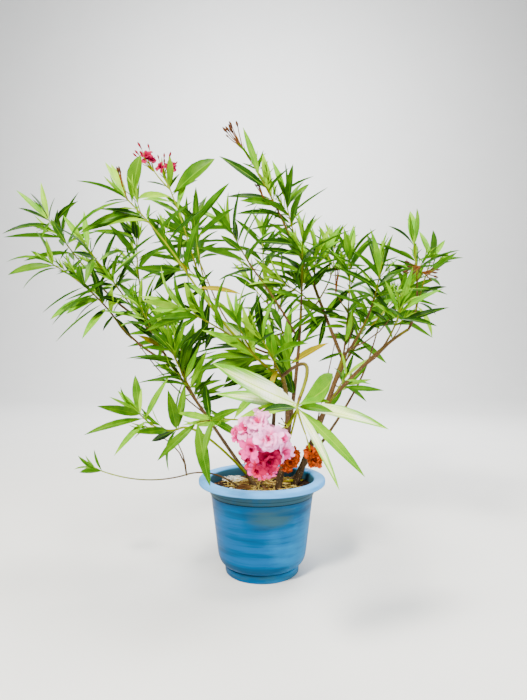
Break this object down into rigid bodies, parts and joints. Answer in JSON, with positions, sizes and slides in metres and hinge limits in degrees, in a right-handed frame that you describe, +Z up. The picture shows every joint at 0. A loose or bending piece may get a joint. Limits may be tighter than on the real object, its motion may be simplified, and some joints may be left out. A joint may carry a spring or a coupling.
{
  "type": "potted oleander",
  "caption": "Oleander shrub with several stems, leafy shoots and a pink flower head, in a round blue pot of soil.",
  "frame": {"origin": "centre of the pot's flat underside", "axes": "+Z up, +X to the right and +Y to the back as the reference picture sees the plant"},
  "size_m": [1.2922, 1.1912, 1.2504],
  "materials": {
    "pot": "sun-bleached blue plastic with a pale chalky rim",
    "soil": "dry dark potting soil with bits of straw and leaf",
    "bark": "grey-brown smooth bark with small pores",
    "green_wood": "young yellow-green bark",
    "foliage": "leathery dark green leaves, glossy above, with a pale midrib",
    "flowers": "soft pink double blooms, some faded to brown"
  },
  "bodies": {
    "root": {"back_cane": "bark", "back_left_bough": "green_wood", "back_left_spray": "foliage", "back_right_bough": "green_wood", "back_right_spray": "foliage", "back_spray": "foliage", "bud_bough": "green_wood", "bud_spray": "foliage", "centre_cane": "bark", "centre_left_bough": "green_wood", "centre_left_spray": "foliage", "centre_mid_spray": "foliage", "centre_top_spray": "foliage", "cross_high_spray": "foliage", "cross_mid_spray": "foliage", "cross_side_spray": "foliage", "crossing_bough": "green_wood", "crossing_spray": "foliage", "flower_bough": "green_wood", "flower_spray": "flowers", "front_cane": "bark", "front_low_spray": "foliage", "knot_spray": "foliage", "left_back_spray": "foliage", "left_cane": "bark", "left_fork_spray": "foliage", "left_high_bough": "green_wood", "left_high_spray": "foliage", "left_inner_spray": "foliage", "left_low_bough": "green_wood", "left_low_spray": "foliage", "left_mid_spray": "foliage", "left_upright_spray": "foliage", "low_bough": "green_wood", "low_spray": "foliage", "outer_bough": "green_wood", "outer_right_spray": "foliage", "outer_side_spray": "foliage", "outer_spray": "foliage", "outer_tip_bough": "green_wood", "pot": "pot", "right_back_spray": "foliage", "right_cane": "bark", "right_fan_spray": "foliage", "right_fork_bough": "green_wood", "right_fork_spray": "foliage", "right_low_spray": "foliage", "right_top_spray": "foliage", "runner_cane": "bark", "runner_spray": "foliage", "slim_cane": "bark", "slim_right_spray": "foliage", "slim_spray": "foliage", "soil": "soil", "tall_bough": "green_wood", "tall_left_spray": "foliage", "tall_low_spray": "foliage", "tall_side_spray": "foliage", "tall_tip_bough": "green_wood", "tall_tip_spray": "foliage"}
  },
  "joints": []
}
